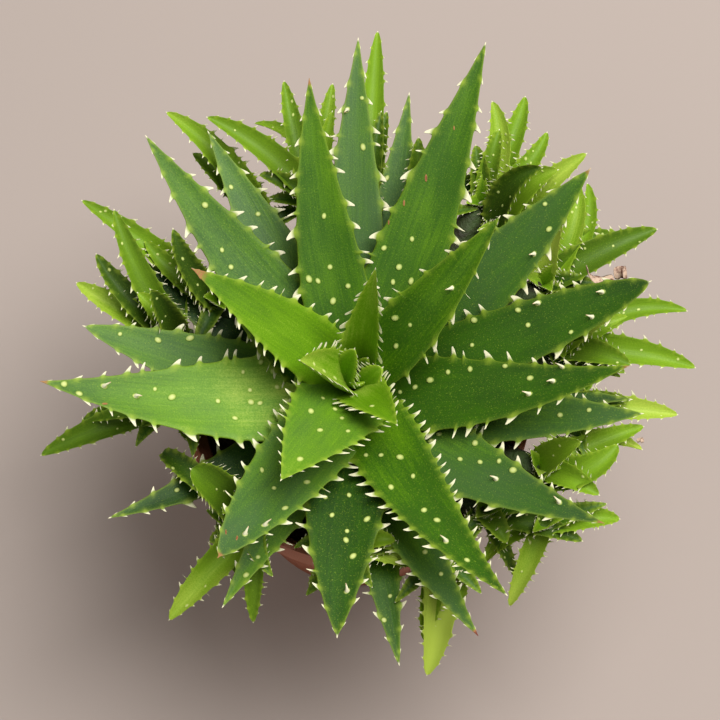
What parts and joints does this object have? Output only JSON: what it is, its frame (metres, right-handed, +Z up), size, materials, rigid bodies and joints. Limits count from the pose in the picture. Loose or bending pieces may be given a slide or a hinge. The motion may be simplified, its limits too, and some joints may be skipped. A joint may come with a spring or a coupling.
{
  "type": "potted safari kerio aloe",
  "caption": "Small aloe with a spiky star of pointed, toothed and pale-spotted leaves, ringed by its own offsets, in a tapered round nursery pot.",
  "frame": {"origin": "centre of the pot's flat underside", "axes": "+Z up along the pot's axis; +X to the right and +Y to the back as seen from the picture's side"},
  "size_m": [0.2222, 0.2252, 0.1623],
  "materials": {
    "pot": "satin terracotta-coloured plastic",
    "soil": "damp gritty potting mix",
    "stem": "matt fleshy stem",
    "heart_leaf": "waxy lime green leaf, pale spots and teeth",
    "outer_leaf": "waxy dark green leaf, pale spots and teeth",
    "offset": "waxy mid green leaf, pale spots and teeth"
  },
  "bodies": {
    "root": {"pot": "pot", "pot_rim": "pot", "soil": "soil", "main_stem": "stem", "leaf_01": "heart_leaf", "leaf_02": "heart_leaf", "leaf_03": "heart_leaf", "leaf_04": "heart_leaf", "leaf_05": "heart_leaf", "leaf_06": "heart_leaf", "leaf_07": "heart_leaf", "leaf_08": "heart_leaf", "leaf_09": "outer_leaf", "leaf_10": "outer_leaf", "leaf_11": "outer_leaf", "leaf_12": "outer_leaf", "leaf_13": "outer_leaf", "leaf_14": "outer_leaf", "leaf_15": "outer_leaf", "leaf_16": "outer_leaf", "leaf_17": "outer_leaf", "leaf_18": "outer_leaf", "leaf_19": "outer_leaf", "leaf_20": "outer_leaf", "leaf_21": "outer_leaf", "leaf_22": "outer_leaf", "leaf_23": "outer_leaf", "leaf_24": "outer_leaf", "leaf_25": "outer_leaf", "leaf_26": "outer_leaf", "leaf_27": "outer_leaf", "leaf_28": "outer_leaf", "leaf_29": "outer_leaf", "leaf_30": "outer_leaf", "leaf_31": "outer_leaf", "offset_01": "offset", "offset_02": "offset", "offset_03": "offset", "offset_04": "offset", "offset_05": "offset", "offset_06": "offset", "offset_07": "offset", "offset_08": "offset", "offset_09": "offset", "offset_10": "offset", "offset_11": "offset", "offset_12": "offset", "offset_13": "offset", "offset_14": "offset", "offset_15": "offset", "offset_16": "offset", "offset_17": "offset", "offset_18": "offset", "offset_19": "offset"}
  },
  "joints": []
}
